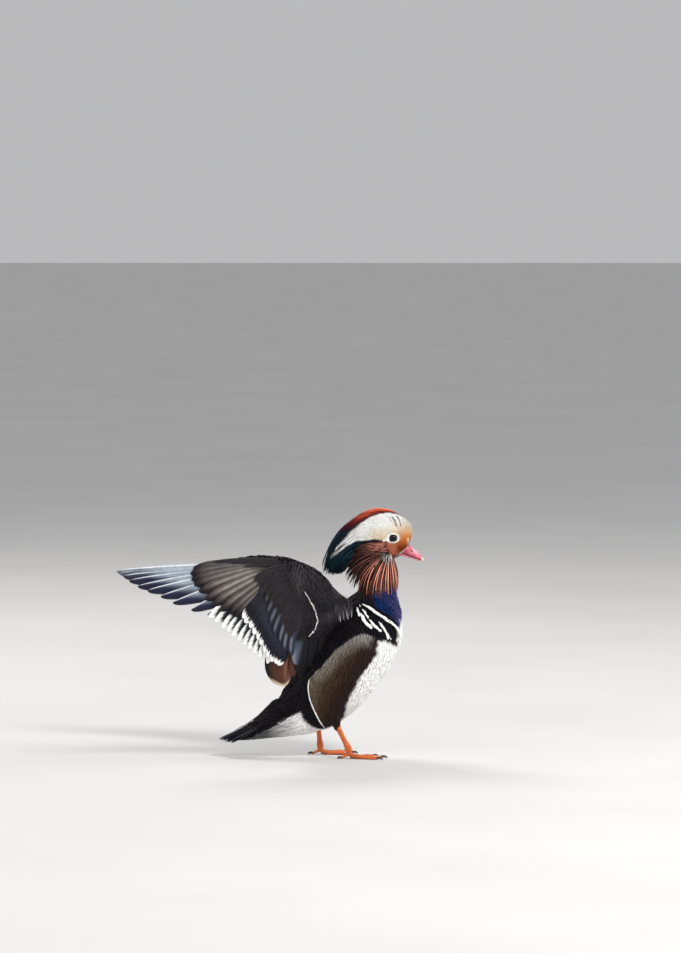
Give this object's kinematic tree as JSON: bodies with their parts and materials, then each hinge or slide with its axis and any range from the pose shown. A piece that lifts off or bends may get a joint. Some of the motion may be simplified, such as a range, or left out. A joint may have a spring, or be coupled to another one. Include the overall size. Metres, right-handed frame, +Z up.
{
  "type": "mandarin duck",
  "caption": "Life-size male mandarin duck standing upright with both wings half open, crest and ruff, resting on the flat soles of its webbed feet.",
  "frame": {"origin": "on the floor under the middle of the whole model's bounding box", "axes": "+X towards the bill, which is the model's longest way, +Y towards the bird's left wing, +Z up"},
  "size_m": [0.3948, 0.2468, 0.3224],
  "materials": {
    "head_feathers": "soft feathers, chestnut, white, rust and green",
    "neck_feathers": "soft feathers, dark purple",
    "body_feathers": "soft feathers, purple breast, buff flanks, white belly, black-brown back",
    "tail_feathers": "stiff dark feathers over white coverts",
    "wing_feathers": "stiff dark feathers with white tips and a chestnut sail",
    "bill": "smooth horn, pink red",
    "eye": "wet and glossy, dark brown",
    "leg_skin": "scaly skin, orange",
    "foot_skin": "scaly skin, orange with darker webs"
  },
  "bodies": {
    "root": {"head": "head_feathers", "bill_upper": "bill", "bill_lower": "bill", "eye_right": "eye", "eye_left": "eye", "neck": "neck_feathers", "torso": "body_feathers", "tail": "tail_feathers", "wing_right": "wing_feathers", "wing_left": "wing_feathers", "leg_right": "leg_skin", "leg_left": "leg_skin", "foot_right": "foot_skin", "foot_left": "foot_skin"}
  },
  "joints": []
}
